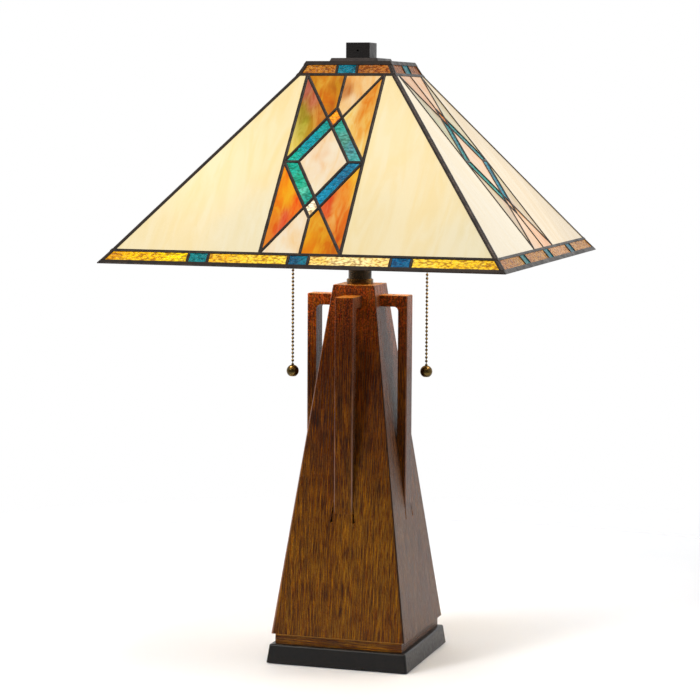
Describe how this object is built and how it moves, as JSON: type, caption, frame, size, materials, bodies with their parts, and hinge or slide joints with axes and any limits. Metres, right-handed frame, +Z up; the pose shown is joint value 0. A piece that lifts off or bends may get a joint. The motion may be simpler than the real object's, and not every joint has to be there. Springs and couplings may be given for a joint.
{
  "type": "table lamp",
  "caption": "Table lamp with a tapered wooden column, open straps near its top, pull-chain switches and a four-sided leaded glass shade under a square finial.",
  "frame": {"origin": "centre of the base's underside, on the surface the lamp stands on", "axes": "+Z up along the lamp's axis; the front face of the base and shade looks along -Y; +X to its right"},
  "size_m": [0.409, 0.409, 0.635],
  "materials": {
    "felt": "felt",
    "plinth_black": "black satin lacquer",
    "stained_wood": "golden-brown stain with dark grain, satin lacquer",
    "steel": "zinc plated",
    "bushing_plastic": "moulded",
    "aged_bronze": "dark oil-rubbed bronze",
    "ring_brass": "antique brass",
    "socket_brass": "satin brass",
    "liner_card": "vulcanised fibre",
    "core_phenolic": "moulded phenolic",
    "screw_aluminium": "drawn and threaded",
    "bulb_envelope": "frosted",
    "chain_bronze": "aged bronze",
    "came_patina": "dark bronze patina on solder",
    "cream_glass": "opalescent, softly streaked",
    "streaky_amber_glass": "streaky opalescent",
    "peach_glass": "streaky opalescent",
    "teal_glass": "streaky opalescent",
    "amber_hammered_glass": "hammered",
    "pale_amber_glass": "hammered",
    "cap_metal": "dark bronze",
    "finial_metal": "black satin"
  },
  "bodies": {
    "base": {"felt_pad": "felt", "plinth": "plinth_black", "cord_bushing": "bushing_plastic", "foot_step": "stained_wood", "column": "stained_wood", "strap_front": "stained_wood", "strap_right": "stained_wood", "strap_back": "stained_wood", "strap_left": "stained_wood", "centre_pipe": "steel", "bottom_washer": "steel", "bottom_nut": "steel", "neck_ring": "ring_brass", "neck_tube": "aged_bronze", "cluster_cup": "aged_bronze", "cluster_cap": "aged_bronze", "riser_rod": "steel", "shade_seat": "aged_bronze", "socket_arms": "aged_bronze", "socket_caps": "socket_brass", "socket_shells": "socket_brass", "socket_liners": "liner_card", "screw_shells": "screw_aluminium", "centre_contacts": "socket_brass", "chain_guides": "socket_brass", "socket_cores": "core_phenolic"},
    "shade": {"came_lattice": "came_patina", "glass_cream": "cream_glass", "glass_triangles": "streaky_amber_glass", "glass_wedges": "peach_glass", "glass_bars": "teal_glass", "glass_squares": "pale_amber_glass", "glass_diamonds": "peach_glass", "rim_glass_teal": "teal_glass", "rim_glass_amber": "amber_hammered_glass", "rim_dividers": "came_patina", "crown_glass_teal": "teal_glass", "crown_glass_amber": "amber_hammered_glass", "crown_dividers": "came_patina", "hip_cames": "came_patina", "fold_cames": "came_patina", "rim_channel": "came_patina", "crown_channel": "came_patina", "shade_cap": "cap_metal"},
    "finial": {"finial": "finial_metal"},
    "bulb_right": {"bulb_base_right": "screw_aluminium", "bulb_glass_right": "bulb_envelope"},
    "cam_right": {"switch_cam_right": "core_phenolic"},
    "pull_right": {"pull_wire_right": "chain_bronze"},
    "chain_right": {"chain_upper_right": "chain_bronze"},
    "chain_end_right": {"chain_lower_right": "chain_bronze", "chain_ball_right": "chain_bronze"},
    "bulb_left": {"bulb_base_left": "screw_aluminium", "bulb_glass_left": "bulb_envelope"},
    "cam_left": {"switch_cam_left": "core_phenolic"},
    "pull_left": {"pull_wire_left": "chain_bronze"},
    "chain_left": {"chain_upper_left": "chain_bronze"},
    "chain_end_left": {"chain_lower_left": "chain_bronze", "chain_ball_left": "chain_bronze"}
  },
  "joints": [
    {"name": "shade_turn", "type": "hinge", "parent": "base", "child": "shade", "pos_m": [0, 0, 0.6156], "axis": [0, 0, 1], "continuous": true},
    {"name": "finial_unscrew", "type": "hinge", "parent": "base", "child": "finial", "pos_m": [0, 0, 0.627], "axis": [0, 0, 1], "continuous": true},
    {"name": "bulb_unscrew_right", "type": "hinge", "parent": "base", "child": "bulb_right", "pos_m": [0.08779, 0.02751, 0.446], "axis": [0.9542, 0.299, 0], "continuous": true},
    {"name": "pull_right", "type": "slide", "parent": "base", "child": "pull_right", "axis": [0, 0, -1], "range_m": [0, 0.0094], "stiffness_N_per_m": 400, "springref_m": -0.005},
    {"name": "chain_swing_right", "type": "hinge", "parent": "pull_right", "child": "chain_right", "pos_m": [0.06603, 0.02069, 0.41945], "axis": [0.9542, 0.299, 0], "range_deg": [-30, 30]},
    {"name": "chain_bend_right", "type": "hinge", "parent": "chain_right", "child": "chain_end_right", "pos_m": [0.06603, 0.02069, 0.37265], "axis": [-0.299, 0.9542, 0], "range_deg": [-30, 6]},
    {"name": "cam_turn_right", "type": "hinge", "parent": "base", "child": "cam_right", "pos_m": [0.06424, 0.02642, 0.446], "axis": [0.9542, 0.299, 0], "range_deg": [0, 90]},
    {"name": "bulb_unscrew_left", "type": "hinge", "parent": "base", "child": "bulb_left", "pos_m": [-0.08779, -0.02751, 0.446], "axis": [-0.9542, -0.299, 0], "continuous": true},
    {"name": "pull_left", "type": "slide", "parent": "base", "child": "pull_left", "axis": [0, 0, -1], "range_m": [0, 0.0094], "stiffness_N_per_m": 400, "springref_m": -0.005},
    {"name": "chain_swing_left", "type": "hinge", "parent": "pull_left", "child": "chain_left", "pos_m": [-0.06603, -0.02069, 0.41945], "axis": [-0.9542, -0.299, 0], "range_deg": [-30, 30]},
    {"name": "chain_bend_left", "type": "hinge", "parent": "chain_left", "child": "chain_end_left", "pos_m": [-0.06603, -0.02069, 0.37265], "axis": [0.299, -0.9542, 0], "range_deg": [-30, 6]},
    {"name": "cam_turn_left", "type": "hinge", "parent": "base", "child": "cam_left", "pos_m": [-0.06424, -0.02642, 0.446], "axis": [-0.9542, -0.299, 0], "range_deg": [0, 90]}
  ],
  "couplings": [
    {"joint": "cam_turn_right", "follows": "pull_right", "rad_per_m": 166.67},
    {"joint": "cam_turn_left", "follows": "pull_left", "rad_per_m": 166.67}
  ]
}
